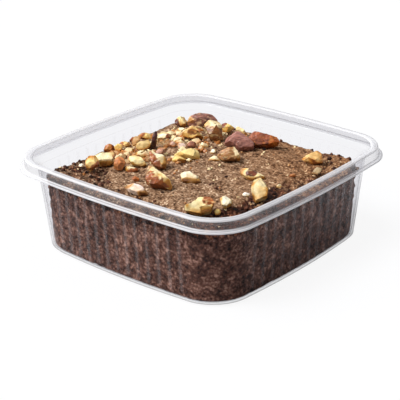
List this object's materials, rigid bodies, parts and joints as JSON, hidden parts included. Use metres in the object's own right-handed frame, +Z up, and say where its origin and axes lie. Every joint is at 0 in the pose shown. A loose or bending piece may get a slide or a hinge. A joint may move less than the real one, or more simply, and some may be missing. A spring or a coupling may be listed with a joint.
{
  "type": "chocolate brownie",
  "caption": "Chocolate brownie with chopped walnuts on top, filling its own open clear square tub with ribbed sides.",
  "frame": {"origin": "centre of the flat underside of the tub's base", "axes": "+Z up out of the open top, +X towards the wall on the right of the picture, -Y towards the wall on its left"},
  "size_m": [0.12, 0.12, 0.042],
  "materials": {
    "clear_plastic": "clear thin food tub plastic, smooth",
    "brownie_crumb": "dark moist chocolate crumb with a dry taupe crust",
    "walnut": "chopped walnut, cream flesh with orange-brown skin"
  },
  "bodies": {
    "root": {"tub": "clear_plastic", "brownie": "brownie_crumb", "walnut_01": "walnut", "walnut_02": "walnut", "walnut_03": "walnut", "walnut_04": "walnut", "walnut_06": "walnut", "walnut_07": "walnut", "walnut_08": "walnut", "walnut_09": "walnut", "walnut_10": "walnut", "walnut_11": "walnut", "walnut_15": "walnut", "walnut_16": "walnut", "walnut_18": "walnut", "walnut_19": "walnut", "walnut_20": "walnut", "walnut_21": "walnut", "walnut_22": "walnut", "walnut_23": "walnut", "walnut_24": "walnut", "walnut_26": "walnut", "walnut_27": "walnut", "walnut_28": "walnut", "walnut_29": "walnut", "walnut_31": "walnut", "walnut_38": "walnut", "walnut_39": "walnut", "walnut_40": "walnut", "walnut_41": "walnut", "walnut_42": "walnut", "walnut_43": "walnut", "walnut_44": "walnut", "walnut_45": "walnut", "walnut_46": "walnut", "walnut_47": "walnut", "walnut_49": "walnut"}
  },
  "joints": []
}
